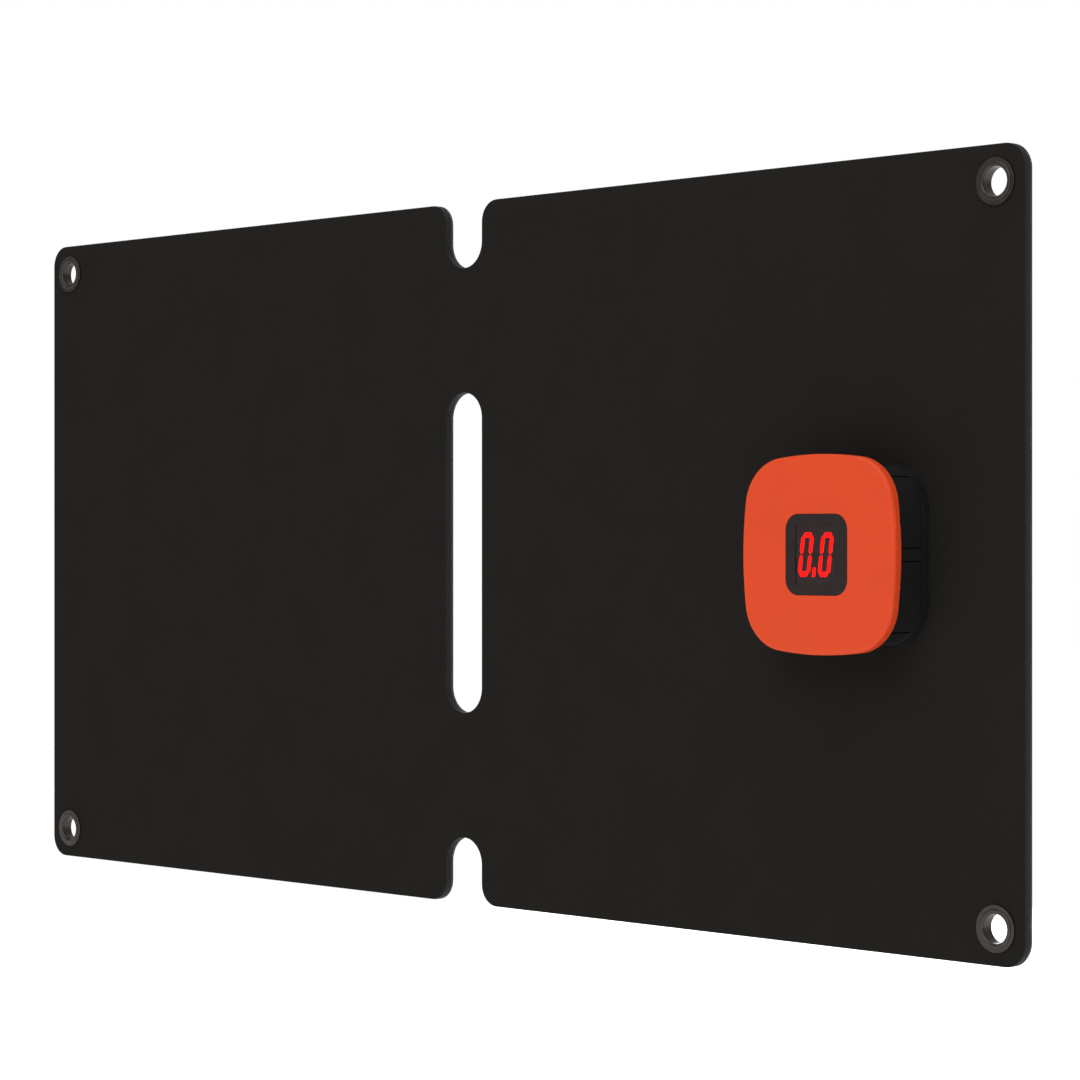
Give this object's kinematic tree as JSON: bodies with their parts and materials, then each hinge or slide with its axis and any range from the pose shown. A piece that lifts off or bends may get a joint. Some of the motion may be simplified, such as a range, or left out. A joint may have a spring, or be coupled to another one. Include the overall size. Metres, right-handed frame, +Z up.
{
  "type": "folding solar charger sheet",
  "caption": "Two-leaf folding solar charger sheet with corner eyelets, a carry slot in the fold, and a small square charge controller with a digital display on its back.",
  "frame": {"origin": "centre of the carry slot, on the middle plane of the sheet", "axes": "+X along the open width away from the controller, +Z up, -Y out of the cells, +Y out of the back, where the controller stands"},
  "size_m": [0.438, 0.0215, 0.219],
  "materials": {
    "film": "satin, embossed with small raised dots",
    "encapsulant": "clear",
    "cell": "dark blue silicon under film",
    "ribbon": "tinned copper",
    "liner": "dark grey sheet",
    "stiffener": "black glass fibre board",
    "back_cloth": "matte black woven polyester",
    "eyelet": "dull gunmetal plating",
    "fold_cloth": "laminated black cloth",
    "copper": "bare copper",
    "adhesive": "black foam tape",
    "base_plastic": "black",
    "case_plastic": "satin black",
    "cover_rubber": "matte black silicone",
    "cap_plastic": "satin orange, fine spark texture",
    "seal": "black",
    "window": "smoked",
    "display_body": "black",
    "display_light": "red light bars",
    "pcb": "green solder mask",
    "screw": "zinc",
    "socket_steel": "nickel plated",
    "socket_core": "black",
    "ferrite": "dark grey",
    "capacitor": "satin",
    "chip": "black epoxy"
  },
  "bodies": {
    "controller_leaf": {"front_film_left": "film", "encapsulant_left": "encapsulant", "solar_cells_left": "cell", "cell_ribbons_left": "ribbon", "backing_liner_left": "liner", "collector_ribbons_left": "ribbon", "stiffener_board_left": "stiffener", "back_cloth_left": "back_cloth", "eyelets_left": "eyelet", "eyelet_washers_left": "eyelet", "fold_web_upper": "fold_cloth", "fold_web_lower": "fold_cloth", "fold_conductors": "copper", "adhesive_pad": "adhesive", "controller_base": "base_plastic", "controller_case": "case_plastic", "port_cover_strap": "cover_rubber", "front_cap": "cap_plastic", "seal_ring": "seal", "display_window": "window", "display_module": "display_body", "display_segments": "display_light", "circuit_board": "pcb", "board_screws": "screw", "lead_tabs": "copper", "usb_a_shell": "socket_steel", "usb_a_core": "socket_core", "usb_c_shell": "socket_steel", "usb_c_core": "socket_core", "inductor": "ferrite", "capacitor": "capacitor", "converter_chip": "chip"},
    "plain_leaf": {"front_film_right": "film", "encapsulant_right": "encapsulant", "solar_cells_right": "cell", "cell_ribbons_right": "ribbon", "backing_liner_right": "liner", "collector_ribbons_right": "ribbon", "stiffener_board_right": "stiffener", "back_cloth_right": "back_cloth", "eyelets_right": "eyelet", "eyelet_washers_right": "eyelet"},
    "cover_upper": {"port_cover_upper": "cover_rubber"},
    "cover_lower": {"port_cover_lower": "cover_rubber"}
  },
  "joints": [
    {"name": "fold", "type": "hinge", "parent": "controller_leaf", "child": "plain_leaf", "pos_m": [0, -0.002, 0], "axis": [0, 0, -1], "range_deg": [-90, 178], "deforming": ["fold_web_upper", "fold_web_lower", "fold_conductors"]},
    {"name": "cover_upper_hinge", "type": "hinge", "parent": "controller_leaf", "child": "cover_upper", "pos_m": [-0.1856, 0.01, 0.0018], "axis": [0, -1, 0], "range_deg": [0, 90]},
    {"name": "cover_lower_hinge", "type": "hinge", "parent": "controller_leaf", "child": "cover_lower", "pos_m": [-0.1856, 0.01, -0.0018], "axis": [0, 1, 0], "range_deg": [0, 90]}
  ]
}
